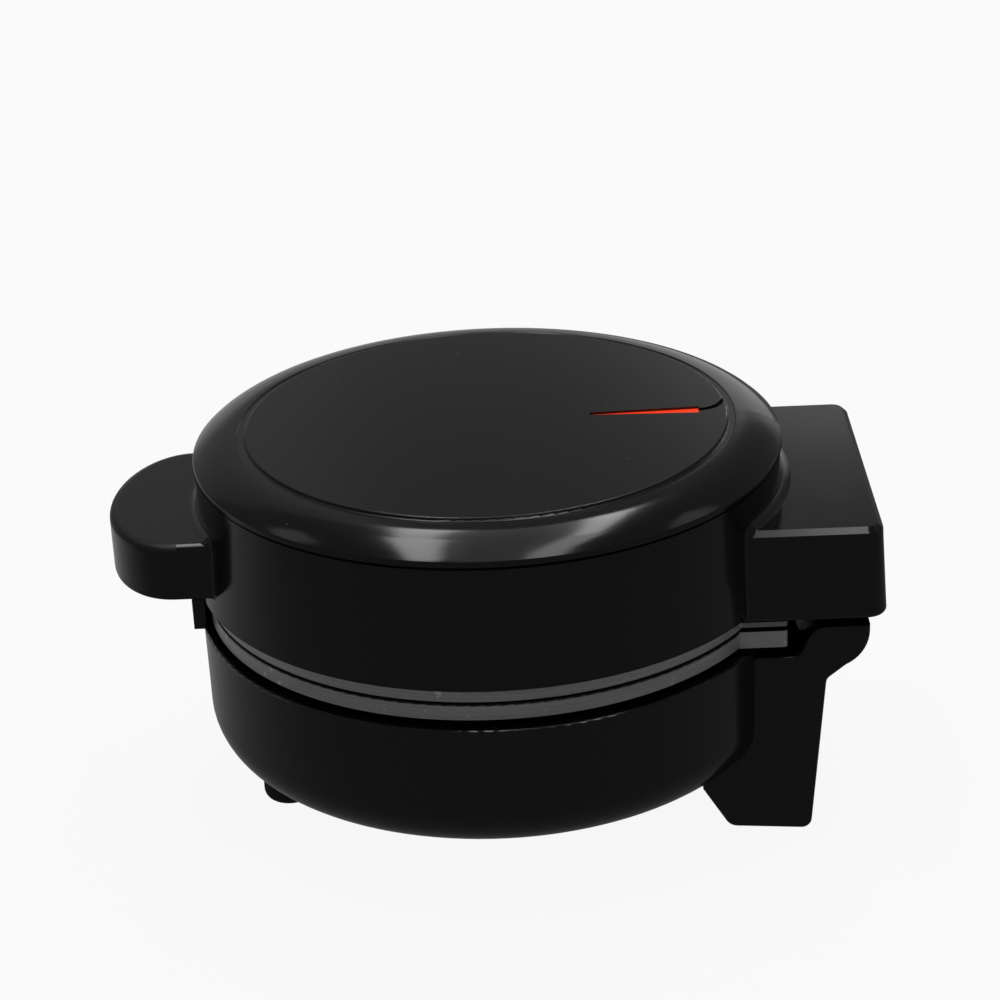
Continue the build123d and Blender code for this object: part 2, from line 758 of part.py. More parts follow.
def pan_screws(plane, places, length):
    """A group of equal screws, their heads on the plane and their shanks behind it."""
    with BuildPart() as group:
        with BuildSketch(plane):
            with Locations(*places):
                Circle(pan_head_r)
        extrude(amount=screw_head_t)
        with BuildSketch(plane):
            with Locations(*places):
                Circle(screw_r)
        extrude(amount=-length)
    return group


# Screws: the shields', the lower plate's, the bottom cover's and the bracket's
shield_screw_places = ring_places(shield_post_ring, shield_angles)
for plate_name, side in (("lower", -1), ("upper", 1)):
    shield_face = outward(side, shield_level + shield_t)
    save(pan_screws(shield_face, shield_screw_places, shield_screw_l), f"{plate_name}_shield_screws")
plate_screw_places = ring_places(plate_post_ring, quarter_angles)
save(pan_screws(outward(-1, base_drop - screw_sink), plate_screw_places, plate_screw_l), "base_plate_screws")
cover_screw_places = ring_places(cover_screw_ring, cover_angles)
save(pan_screws(outward(-1, base_drop), cover_screw_places, cover_screw_l), "cover_screws")
bracket_face = outward(-1, bracket_t - bracket_top)
save(pan_screws(bracket_face, bracket_screw_places, bracket_screw_l), "hinge_bracket_screws")

# Countersunk screws that hold the upper plate, flush with its flange
with BuildPart() as lid_plate_screws:
    with BuildSketch(level(plate_gap)):
        with Locations(*ring_places(flange_screw_ring, quarter_angles)):
            Circle(screw_head_r)
    extrude(amount=screw_head_t, taper=countersink)
    with BuildSketch(level(plate_gap)):
        with Locations(*ring_places(flange_screw_ring, quarter_angles)):
            Circle(screw_r)
    extrude(amount=flange_screw_l)
save(lid_plate_screws, "lid_plate_screws")

# Bottom cover, let into the underside, with a ring of vents
with BuildPart() as base_cover:
    with BuildSketch(Plane.XY.offset(base_floor_z)):
        Circle(cover_r)
        with Locations(*cover_screw_places):
            Circle(screw_r + running, mode=Mode.SUBTRACT)
        with PolarLocations(vent_ring, vents, start_angle=180 / vents):
            SlotOverall(vent_l, vent_w, mode=Mode.SUBTRACT)
    extrude(amount=cover_t)
    with BuildSketch(Plane.XY.offset(base_floor_z + cover_t)):
        Circle(cover_hole_r - clearance)
        Circle(cover_hole_r - clearance - cover_rim_t, mode=Mode.SUBTRACT)
    extrude(amount=cover_rim_h)
save(base_cover, "base_cover")

# Terminal block on the bottom cover, where the supply wires end
terminal_foot_z = base_floor_z + cover_t
with BuildPart() as terminal_block:
    with BuildSketch(Plane.XY.offset(terminal_foot_z)):
        Rectangle(terminal_w, terminal_l)
    extrude(amount=terminal_h)
    chamfer(terminal_block.edges().group_by(Axis.Z)[-1], length=terminal_edge)
    with BuildSketch(Plane.YZ.offset(-terminal_w / 2)):
        with Locations((0, terminal_foot_z + terminal_h / 2)):
            with GridLocations(terminal_pitch, 1, 3, 1):
                Circle(terminal_hole_r)
    extrude(amount=terminal_w, mode=Mode.SUBTRACT)
save(terminal_block, "terminal_block")

# Rubber feet: two on the front posts, with stems, and two pads let into the leg
with BuildPart() as front_feet:
    with BuildSketch(Plane.XY):
        with Locations(*front_foot_places):
            Circle(foot_r)
    extrude(amount=foot_h)
    fillet(front_feet.edges().group_by(Axis.Z)[0], radius=foot_edge)
    with BuildSketch(Plane.XY.offset(foot_h)):
        with Locations(*front_foot_places):
            Circle(foot_stem_r - running)
    extrude(amount=foot_stem_h - clearance)
save(front_feet, "front_feet")
with BuildPart() as rear_feet:
    with BuildSketch(Plane.XY):
        with Locations(*rear_foot_places):
            Circle(rear_foot_r)
    extrude(amount=rear_foot_t)
save(rear_feet, "rear_feet")

# Bushing in the leg, the inlet of the supply cord
with BuildPart() as cord_bushing:
    with BuildSketch(bushing_plane):
        Circle(bushing_lip_r)
    extrude(amount=bushing_lip_t)
    fillet(cord_bushing.faces().sort_by(Axis.X)[-1].edges(), radius=bushing_edge)
    with BuildSketch(bushing_plane):
        Circle(bushing_r - running)
    extrude(amount=-bushing_seat)
    with BuildSketch(bushing_plane.offset(bushing_floor - bushing_seat)):
        Circle(bushing_bore_r)
    extrude(amount=bushing_seat + bushing_lip_t, mode=Mode.SUBTRACT)
save(cord_bushing, "cord_bushing")

# Indicator lens in the slot, with a flange under the crown
with BuildPart() as indicator_lens:
    with BuildSketch(level(crown_under)):
        with Locations(((slot_start + slot_end) / 2, 0)):
            Rectangle(slot_end - slot_start + 2 * lens_flange, slot_end_w + 2 * lens_flange)
    extrude(amount=-lens_flange_t)
    with BuildSketch(level(crown_under)):
        with BuildLine():
            Polyline(
                (slot_start + lens_gap, slot_start_w / 2 - lens_gap),
                (slot_end - lens_gap, slot_end_w / 2 - lens_gap),
                (slot_end - lens_gap, lens_gap - slot_end_w / 2),
                (slot_start + lens_gap, lens_gap - slot_start_w / 2),
                close=True,
            )
        make_face()
    extrude(amount=lid_wall - lens_inset)
save(indicator_lens, "indicator_lens")

# Lamp, lying under the lens in a holder that hangs from the lens's flange
lamp_z = gap_z + crown_under - lens_flange_t - holder_r
lamp_plane = Plane(origin=(slot_start, 0, lamp_z), x_dir=(0, 1, 0), z_dir=(1, 0, 0))
with BuildPart() as lamp_holder:
    with BuildSketch(lamp_plane.offset(lens_flange)):
        Circle(holder_r)
        with Locations((0, holder_r / 2)):
            Rectangle(2 * holder_r, holder_r)
        Circle(lamp_r + running, mode=Mode.SUBTRACT)
    extrude(amount=holder_l)
save(lamp_holder, "lamp_holder")
with BuildPart() as indicator_lamp:
    with BuildSketch(lamp_plane):
        Circle(lamp_r)
    extrude(amount=lamp_l)
    fillet(indicator_lamp.edges().group_by(Axis.X)[-1], radius=lamp_tip)
save(indicator_lamp, "indicator_lamp")
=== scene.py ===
"""Looks, light and camera for a mini waffle maker, built around its fixed CAD frame."""
import logging
import math
from dataclasses import dataclass, field
from enum import Enum

import bmesh
import bpy
from mathutils import Matrix, Vector


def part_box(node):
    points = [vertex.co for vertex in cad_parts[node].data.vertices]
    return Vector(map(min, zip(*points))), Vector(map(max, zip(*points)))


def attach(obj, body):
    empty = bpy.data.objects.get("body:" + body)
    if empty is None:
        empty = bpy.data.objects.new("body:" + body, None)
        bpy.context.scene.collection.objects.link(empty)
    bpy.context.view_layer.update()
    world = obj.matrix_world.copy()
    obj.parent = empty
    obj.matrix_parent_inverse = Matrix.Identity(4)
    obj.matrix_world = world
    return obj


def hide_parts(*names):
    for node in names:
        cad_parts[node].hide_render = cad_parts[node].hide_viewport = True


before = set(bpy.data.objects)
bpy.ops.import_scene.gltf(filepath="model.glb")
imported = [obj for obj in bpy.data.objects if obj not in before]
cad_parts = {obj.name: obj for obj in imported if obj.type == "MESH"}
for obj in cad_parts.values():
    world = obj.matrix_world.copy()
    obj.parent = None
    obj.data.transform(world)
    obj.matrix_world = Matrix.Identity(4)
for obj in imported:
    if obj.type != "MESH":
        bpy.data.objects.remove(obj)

log = logging.getLogger("waffle_maker")

Colour = tuple[float, float, float, float]
Point = tuple[float, float, float]
Pair = tuple[float, float]
Socket = bpy.types.NodeSocket
Number = float | Socket
Shade = Colour | Socket

MERGE_WITHIN = 1e-7
SAME_HEIGHT = 1e-6
SMOOTH_BELOW = math.radians(32)


def grey(value: float, warmth: float = 0.0) -> Colour:
    """Return a grey with its red raised and its blue lowered by a little warmth."""
    return (value * (1 + warmth), value, value * (1 - warmth), 1.0)


def darker(colour: Colour, share: float) -> Colour:
    """Return a colour with its red, green and blue cut to a share."""
    return (share * colour[0], share * colour[1], share * colour[2], 1.0)


WHITE = grey(1.0)


class Tree:
    """A shader node tree under construction."""

    def __init__(self, tree: bpy.types.NodeTree) -> None:
        """Keep the tree of a material, a world or a node group, which the nodes go into."""
        self.tree = tree

    def add(
        self, kind: str, inputs: dict[str | int, object] | None = None, **settings: object
    ) -> bpy.types.Node:
        """Add one node.

        Args:
            kind: the node's type without its leading "ShaderNode".
            inputs: values or sockets for its inputs, by name or by number.
            **settings: the node's own properties.

        Returns:
            The new node.
        """
        node = self.tree.nodes.new("ShaderNode" + kind)
        for name, value in settings.items():
            setattr(node, name, value)
        for key, value in (inputs or {}).items():
            if isinstance(value, Socket):
                self.tree.links.new(value, node.inputs[key])
            else:
                node.inputs[key].default_value = value
        return node

    def use(self, group: bpy.types.NodeTree, **inputs: float) -> bpy.types.Node:
        """Place a shared effect.

        Args:
            group: the effect's node group.
            **inputs: its input values, with underscores for spaces.

        Returns:
            The group node.
        """
        node = self.tree.nodes.new("ShaderNodeGroup")
        node.node_tree = group
        for name, value in inputs.items():
            node.inputs[name.replace("_", " ")].default_value = value
        return node

    def math(
        self, operation: str, first: Number, second: Number = 0.0, third: Number = 0.0, clamp: bool = False
    ) -> Socket:
        """Add a Math node and return its result."""
        operands = {0: first, 1: second, 2: third}
        return self.add("Math", operands, operation=operation, use_clamp=clamp).outputs[0]

    def times(self, first: Number, second: Number) -> Socket:
        """Return a product."""
        return self.math("MULTIPLY", first, second)

    def ramp(self, value: Socket, band: Pair) -> Socket:
        """Return a smooth 0 to 1 mask as the value goes from the band's first number to its second."""
        inputs = {"Value": value, "From Min": band[0], "From Max": band[1]}
        return self.add("MapRange", inputs, interpolation_type="SMOOTHSTEP").outputs["Result"]

    def blend(self, mask: Socket, first: Number, second: Number) -> Socket:
        """Return a mix of two numbers by a mask."""
        return self.add("Mix", {0: mask, 2: first, 3: second}, data_type="FLOAT").outputs[0]

    def tint(self, mask: Socket, first: Shade, second: Shade) -> Socket:
        """Return a mix of two colours by a mask."""
        return self.add("Mix", {0: mask, 6: first, 7: second}, data_type="RGBA").outputs[2]

    def noise(self, where: Socket, scale: Number, detail: float = 2.0, distortion: float = 0.0) -> Socket:
        """Return a noise value round 0.5 at points in space."""
        inputs = {"Vector": where, "Scale": scale, "Detail": detail, "Distortion": distortion}
        return self.add("TexNoise", inputs).outputs["Fac"]

    def place(self) -> Socket:
        """Return the Object coordinates, which are metres in the CAD frame."""
        return self.add("TexCoord").outputs["Object"]

    def split(self, vector: Socket) -> bpy.types.NodeOutputs:
        """Return the X, Y and Z of a vector, by name."""
        return self.add("SeparateXYZ", {0: vector}).outputs

    def join(self, x: Number, y: Number) -> Socket:
        """Return the level vector of an X and a Y."""
        return self.add("CombineXYZ", {0: x, 1: y}).outputs[0]

    def radius(self, where: bpy.types.NodeOutputs) -> Socket:
        """Return the distance of a place from the upright axis."""
        level = self.join(where["X"], where["Y"])
        return self.add("VectorMath", {0: level}, operation="LENGTH").outputs["Value"]

    def facing_up(self) -> Socket:
        """Return how far the surface faces up, from -1 to 1."""
        return self.split(self.add("NewGeometry").outputs["Normal"])["Z"]


class Surface(Tree):
    """A material under construction, with its Principled shader."""

    def __init__(self, name: str, **plain: float | Colour) -> None:
        """Start the material.

        Args:
            name: the finish's name.
            **plain: the shader's values that are the same all over, with underscores for spaces.
        """
        self.material = bpy.data.materials.new(name)
        self.material.use_nodes = True
        super().__init__(self.material.node_tree)
        self.shader = self.tree.nodes["Principled BSDF"]
        for label, value in plain.items():
            self.shader.inputs[label.replace("_", " ")].default_value = value

    def feed(self, label: str, value: Socket) -> None:
        """Link a value that varies over the surface to one of the shader's inputs."""
        self.tree.links.new(value, self.shader.inputs[label])

    def bump(self, height: Socket, depth: float) -> None:
        """Feed a height in units of the depth, in metres, to the shader's normal."""
        node = self.add("Bump", {"Height": height, "Distance": depth, "Strength": 1.0})
        self.feed("Normal", node.outputs["Normal"])

    def show(self, shader: bpy.types.Node) -> None:
        """Let another shader than the Principled one reach the surface."""
        output = self.tree.nodes["Material Output"]
        self.tree.links.new(shader.outputs[0], output.inputs["Surface"])


class Effect(Tree):
    """A shader node group under construction, with number inputs and outputs."""

    def __init__(self, name: str, inputs: dict[str, float], outputs: list[str]) -> None:
        """Start the group.

        Args:
            name: the group's name.
            inputs: each input's name and its default value.
            outputs: the names of the outputs.
        """
        group = bpy.data.node_groups.new(name, "ShaderNodeTree")
        super().__init__(group)
        for label, default in inputs.items():
            socket = group.interface.new_socket(label, in_out="INPUT", socket_type="NodeSocketFloat")
            socket.default_value = default
        for label in outputs:
            group.interface.new_socket(label, in_out="OUTPUT", socket_type="NodeSocketFloat")
        entry = group.nodes.new("NodeGroupInput")
        result = group.nodes.new("NodeGroupOutput")
        self.given = {label: entry.outputs[label] for label in inputs}
        self.results = {label: result.inputs[label] for label in outputs}

    def put(self, label: str, value: Socket) -> None:
        """Link a value to one of the group's outputs."""
        self.tree.links.new(value, self.results[label])


@dataclass
class Effects:
    """The shader node groups that several materials share, each built once."""

    touched: Pair = (0.45, 0.75)
    touch_detail: float = 3.0
    touch_distortion: float = 0.8
    wiped: Pair = (0.3, 0.7)
    wipe_stretch: Point = (3.0, 26.0, 9.0)
    wipe_turn: float = 0.5
    wipe_scale: float = 6.0
    wipe_detail: float = 3.0
    ring_sweep: float = 1.6
    ring_detail: float = 3.0
    nick_sweep: float = 26.0
    nick_detail: float = 4.0
    nicked: Pair = (0.62, 0.74)
    speck_size: Pair = (0.02, 0.09)
    speck_chosen_above: float = 0.9
    dust_lies: Pair = (0.5, 0.95)
    grain: bpy.types.NodeTree = field(init=False)
    smudge: bpy.types.NodeTree = field(init=False)
    turning: bpy.types.NodeTree = field(init=False)
    dust: bpy.types.NodeTree = field(init=False)

    def __post_init__(self) -> None:
        """Build each group."""
        self.grain = self._grain()
        self.smudge = self._smudge()
        self.turning = self._turning()
        self.dust = self._dust()

    @staticmethod
    def _grain() -> bpy.types.NodeTree:
        """Build the fine unevenness of a moulded or cast skin.

        Returns:
            The group, which gives a height round zero.
        """
        effect = Effect("skin_grain", {"Scale": 900.0, "Ripple Scale": 60.0, "Ripple": 0.5}, ["Height"])
        where = effect.place()
        fine = effect.math("SUBTRACT", effect.noise(where, effect.given["Scale"], detail=2.0), 0.5)
        broad = effect.math("SUBTRACT", effect.noise(where, effect.given["Ripple Scale"], detail=1.0), 0.5)
        effect.put("Height", effect.math("MULTIPLY_ADD", broad, effect.given["Ripple"], fine))
        return effect.tree

    def _smudge(self) -> bpy.types.NodeTree:
        """Build the marks of handling.

        Returns:
            The group, which gives a soft mask of wiped and touched patches.
        """
        effect = Effect("handling_smudge", {"Scale": 28.0, "Amount": 1.0}, ["Mask"])
        where = effect.place()
        touches = effect.noise(where, effect.given["Scale"], self.touch_detail, self.touch_distortion)
        wipe_turn = (0.0, 0.0, self.wipe_turn)
        wiping = effect.add("Mapping", {"Vector": where, "Scale": self.wipe_stretch, "Rotation": wipe_turn})
        wipes = effect.noise(wiping.outputs["Vector"], self.wipe_scale, self.wipe_detail)
        both = effect.times(effect.ramp(touches, self.touched), effect.ramp(wipes, self.wiped))
        effect.put("Mask", effect.math("MULTIPLY", both, effect.given["Amount"], clamp=True))
        return effect.tree

    def _turning(self) -> bpy.types.NodeTree:
        """Build the fine rings that a lathe leaves round the upright axis, and the nicks in them.

        Returns:
            The group, which gives the rings and a mask of the nicks.
        """
        effect = Effect("lathe_turning", {"Pitch": 2600.0, "Nick Scale": 420.0}, ["Rings", "Nicks"])
        where = effect.split(effect.place())
        angle = effect.math("ARCTAN2", where["Y"], where["X"])
        across = effect.math("ADD", effect.radius(where), where["Z"])
        ring_across = effect.times(across, effect.given["Pitch"])
        ring_at = effect.join(effect.times(angle, self.ring_sweep), ring_across)
        effect.put("Rings", effect.noise(ring_at, 1.0, self.ring_detail))
        nick_across = effect.times(across, effect.given["Nick Scale"])
        nick_at = effect.join(effect.times(angle, self.nick_sweep), nick_across)
        effect.put("Nicks", effect.ramp(effect.noise(nick_at, 1.0, self.nick_detail), self.nicked))
        return effect.tree

    def _dust(self) -> bpy.types.NodeTree:
        """Build sparse specks of dust.

        Returns:
            The group, which gives a mask of specks on faces that look up.
        """
        effect = Effect("dust_specks", {"Scale": 300.0, "Amount": 0.5}, ["Mask"])
        spread = {"Vector": effect.place(), "Scale": effect.given["Scale"], "Randomness": 1.0}
        cells = effect.add("TexVoronoi", spread, feature="F1").outputs
        speck = effect.math("SUBTRACT", 1.0, effect.ramp(cells["Distance"], self.speck_size))
        draw = effect.add("SeparateColor", {0: cells["Color"]}).outputs[0]
        chosen = effect.math("GREATER_THAN", draw, self.speck_chosen_above)
        mask = effect.times(effect.times(speck, chosen), effect.ramp(effect.facing_up(), self.dust_lies))
        effect.put("Mask", effect.math("MULTIPLY", mask, effect.given["Amount"], clamp=True))
        return effect.tree


@dataclass(frozen=True)
class Finish:
    """The look of a surface, which becomes one material."""

    name: str

    def build(self, effects: Effects) -> bpy.types.Material:
        """Make the material with the shared effects, which each kind of finish does in its own way."""
        raise NotImplementedError(self.name)


@dataclass(frozen=True)
class Grain:
    """How uneven a skin is."""

    depth: float
    scale: float = 900.0
    ripple_scale: float = 45.0
    ripple: float = 6.0

    def height(self, surface: Surface, effects: Effects) -> Socket:
        """Return the skin's height in units of its depth."""
        values = {"Scale": self.scale, "Ripple_Scale": self.ripple_scale, "Ripple": self.ripple}
        return surface.use(effects.grain, **values).outputs["Height"]


@dataclass(frozen=True)
class LidZones:
    """Where the polished lid is duller: its crown, the ring round the crown and the handle's edge."""

    crown_radius: float
    crown_from: float
    handle_from: float
    crown_roughness: float = 0.178
    ring_width: float = 0.0022
    ring_roughness: float = 0.24
    edge_roughness: float = 0.5
    edge_starts: Pair = (0.15, 0.35)
    edge_ends: Pair = (0.99, 0.95)

    def dull(self, surface: Surface, rough: Socket) -> Socket:
        """Lay the zones over a roughness.

        Args:
            surface: the lid's material.
            rough: the roughness of its polished faces.

        Returns:
            The roughness with the zones in it.
        """
        where = surface.split(surface.place())
        radius = surface.radius(where)
        high = surface.math("GREATER_THAN", where["Z"], self.crown_from)
        ring = (self.crown_radius + self.ring_width, self.ring_roughness)
        for reach, roughness in (ring, (self.crown_radius, self.crown_roughness)):
            inside = surface.math("LESS_THAN", radius, reach)
            rough = surface.blend(surface.times(inside, high), rough, roughness)
        up = surface.facing_up()
        edge = surface.times(surface.ramp(up, self.edge_starts), surface.ramp(up, self.edge_ends))
        handle = surface.math("LESS_THAN", where["X"], self.handle_from)
        return surface.blend(surface.times(edge, handle), rough, self.edge_roughness)


@dataclass(frozen=True)
class MouldedPlastic(Finish):
    """A moulded plastic or rubber, polished or textured."""

    colour: Colour
    roughness: float
    grain: Grain = Grain(depth=1.2e-6)
    specular: float = 0.5
    smudge: float = 0.0
    smudge_duller: float = 0.16
    dust: float = 0.0
    dust_colour: Colour = grey(0.25)
    dust_roughness: float = 0.8
    zones: LidZones | None = None

    def build(self, effects: Effects) -> bpy.types.Material:
        """Make the material.

        Args:
            effects: the shared node groups.

        Returns:
            The material, with touched patches duller, specks of dust and, on the lid, its duller zones.
        """
        surface = Surface(self.name, Specular_IOR_Level=self.specular)
        touched = surface.use(effects.smudge, Amount=self.smudge).outputs["Mask"]
        rough = surface.blend(touched, self.roughness, self.roughness + self.smudge_duller)
        if self.zones:
            rough = self.zones.dull(surface, rough)
        dusty = surface.use(effects.dust, Amount=self.dust).outputs["Mask"]
        surface.feed("Base Color", surface.tint(dusty, self.colour, self.dust_colour))
        surface.feed("Roughness", surface.blend(dusty, rough, self.dust_roughness))
        surface.bump(self.grain.height(surface, effects), self.grain.depth)
        return surface.material


@dataclass(frozen=True)
class CoatedCasting(Finish):
    """A cast plate: a dark non-stick coat on its faces, a turned rim, and painted shade on the upper
    plate's hinge lug under the hinge block.
    """

    rim_radius: float
    parting_height: float
    coat: Colour = grey(0.022)
    speckle: Colour = grey(0.16)
    rim: Colour = grey(0.67)
    nick: Colour = grey(0.88)
    # painted shade: the darker colour of the upper plate's hinge lug, as if shaded by the hinge block
    painted_lug_shade: Colour = grey(0.3)
    groove_share: float = 0.45
    speckle_share: float = 0.5
    speckle_scale: float = 2600.0
    speckled: Pair = (0.62, 0.72)
    level: Pair = (0.2, 0.7)
    rim_inset: Pair = (0.004, 0.002)
    lug_clearance: float = 0.0002
    metallic: float = 0.85
    coat_roughness: float = 0.38
    groove_roughness: float = 0.5
    ridge_roughness: float = 0.3
    ring_height: float = 6.0
    grain: Grain = Grain(depth=6.0e-6, scale=1400.0, ripple_scale=120.0, ripple=2.0)

    def build(self, effects: Effects) -> bpy.types.Material:
        """Make the material.

        Args:
            effects: the shared node groups.

        Returns:
            The material, with lathe rings and bright nicks on the rim, a speckled coat inside, and painted
            shade on the upper hinge lug.
        """
        surface = Surface(self.name)
        turning = surface.use(effects.turning).outputs
        where = surface.split(surface.place())
        radius = surface.radius(where)
        level = surface.ramp(surface.math("ABSOLUTE", surface.facing_up()), self.level)
        inset, full = self.rim_inset
        outer = surface.ramp(radius, (self.rim_radius - inset, self.rim_radius - full))
        rim = surface.times(surface.math("SUBTRACT", 1.0, level), outer)
        # painted shade: the hinge lug above the parting and beyond the rim is darkened as if in the hinge
        # block's shadow
        beyond = surface.math("GREATER_THAN", radius, self.rim_radius + self.lug_clearance)
        painted_lug_shade = surface.times(surface.math("GREATER_THAN", where["Z"], self.parting_height), beyond)
        speckle = surface.ramp(surface.noise(surface.place(), self.speckle_scale), self.speckled)
        coat = surface.tint(surface.times(speckle, self.speckle_share), self.coat, self.speckle)
        metal = surface.tint(turning["Rings"], darker(self.rim, self.groove_share), self.rim)
        metal = surface.tint(turning["Nicks"], metal, self.nick)
        metal = surface.tint(painted_lug_shade, metal, self.painted_lug_shade)
        surface.feed("Base Color", surface.tint(rim, coat, metal))
        surface.feed("Metallic", surface.times(rim, self.metallic))
        turned_rough = surface.blend(turning["Rings"], self.groove_roughness, self.ridge_roughness)
        surface.feed("Roughness", surface.blend(rim, self.coat_roughness, turned_rough))
        lines = surface.times(surface.times(turning["Rings"], rim), self.ring_height)
        surface.bump(surface.math("ADD", self.grain.height(surface, effects), lines), self.grain.depth)
        return surface.material


@dataclass(frozen=True)
class Metal(Finish):
    """A bare or plated metal."""

    colour: Colour
    roughness: float
    drawn: Point = (40.0, 900.0, 900.0)
    line_depth: float = 4.0e-6
    smoother: float = 0.08
    rougher: float = 0.1
    patch_scale: float = 60.0
    patch_share: float = 0.6
    patch_darkness: float = 0.6
    stain: Colour | None = None
    stain_scale: float = 35.0
    stained: Pair = (0.4, 0.65)

    def build(self, effects: Effects) -> bpy.types.Material:
        """Make the material.

        Args:
            effects: the shared node groups.

        Returns:
            The material, with drawn lines, dull patches and, if it has one, a heat stain.
        """
        surface = Surface(self.name, Metallic=1.0)
        drawing = surface.add("Mapping", {"Vector": surface.place(), "Scale": self.drawn})
        lines = surface.noise(drawing.outputs["Vector"], 1.0)
        patches = surface.use(effects.smudge, Scale=self.patch_scale, Amount=1.0).outputs["Mask"]
        patch_colour = darker(self.colour, self.patch_darkness)
        worn = surface.tint(surface.times(patches, self.patch_share), self.colour, patch_colour)
        if self.stain:
            clouds = surface.noise(surface.place(), self.stain_scale, detail=3.0)
            worn = surface.tint(surface.ramp(clouds, self.stained), worn, self.stain)
        surface.feed("Base Color", worn)
        rough = surface.blend(lines, self.roughness - self.smoother, self.roughness + self.rougher)
        surface.feed("Roughness", rough)
        surface.bump(lines, self.line_depth)
        return surface.material


@dataclass(frozen=True)
class ClearPlastic(Finish):
    """A clear or tinted moulding that a lamp lights from behind."""

    colour: Colour
    glow: Colour
    glow_strength: float
    clearness: float
    roughness: float = 0.12
    cloud_scale: float = 160.0
    clouded: Pair = (0.3, 0.7)
    cloud_darkness: float = 0.7
    end_darkness: float = 0.45
    brightens: Pair | None = None
    grain: Grain = Grain(depth=3.0e-6, scale=500.0, ripple_scale=90.0, ripple=2.0)

    def build(self, effects: Effects) -> bpy.types.Material:
        """Make the material.

        Args:
            effects: the shared node groups.

        Returns:
            The material, brighter where its depth varies and, if it brightens along X, dim before that.
        """
        surface = Surface(
            self.name,
            Roughness=self.roughness,
            Transmission_Weight=self.clearness,
            Emission_Strength=self.glow_strength,
        )
        clouds = surface.noise(surface.place(), self.cloud_scale)
        dim = darker(self.glow, self.cloud_darkness)
        glow = surface.tint(surface.ramp(clouds, self.clouded), dim, self.glow)
        if self.brightens:
            along = surface.split(surface.place())["X"]
            glow = surface.tint(surface.ramp(along, self.brightens), darker(dim, self.end_darkness), glow)
        surface.feed("Emission Color", glow)
        surface.feed("Base Color", surface.tint(clouds, self.colour, dim))
        surface.bump(self.grain.height(surface, effects), self.grain.depth)
        return surface.material


class Fine(Enum):
    """How finely a turned piece is divided."""

    SMALL = 24
    ROUND = 192


class Head(Enum):
    """The shape of a screw's head."""

    PAN = "pan"
    COUNTERSUNK = "countersunk"


def finish_mesh(
    name: str, mesh: bmesh.types.BMesh, material: bpy.types.Material, body: str
) -> bpy.types.Object:
    """Turn a bmesh into a smooth-shaded piece that rides on a body.

    Args:
        name: the piece's name.
        mesh: the finished bmesh, which is freed.
        material: its finish.
        body: the CAD body that carries it.

    Returns:
        The new object.
    """
    bmesh.ops.recalc_face_normals(mesh, faces=mesh.faces[:])
    for edge in mesh.edges:
        edge.smooth = edge.is_manifold and edge.calc_face_angle(0.0) < SMOOTH_BELOW
    for face in mesh.faces:
        face.smooth = True
    data = bpy.data.meshes.new(name)
    mesh.to_mesh(data)
    mesh.free()
    data.materials.append(material)
    piece = bpy.data.objects.new(name, data)
    bpy.context.scene.collection.objects.link(piece)
    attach(piece, body)
    return piece


def turned(mesh: bmesh.types.BMesh, outline: list[Pair], steps: Fine, ring: bool = False) -> None:
    """Spin an outline of radius and height about Z.

    Args:
        mesh: the bmesh that takes the shape.
        outline: radius and height pairs, up the axis' side from its bottom, or round a ring's section.
        steps: how finely it turns.
        ring: whether the outline is a ring's section, which is closed and clear of the axis.
    """
    verts = [mesh.verts.new((radius, 0.0, height)) for radius, height in outline]
    following = verts[1:] + verts[:1] if ring else verts[1:]
    edges = [mesh.edges.new(ends) for ends in zip(verts, following)]
    bmesh.ops.spin(
        mesh,
        geom=verts + edges,
        cent=(0, 0, 0),
        axis=(0, 0, 1),
        angle=math.tau,
        steps=steps.value,
        use_merge=True,
    )
    bmesh.ops.remove_doubles(mesh, verts=mesh.verts[:], dist=MERGE_WITHIN)


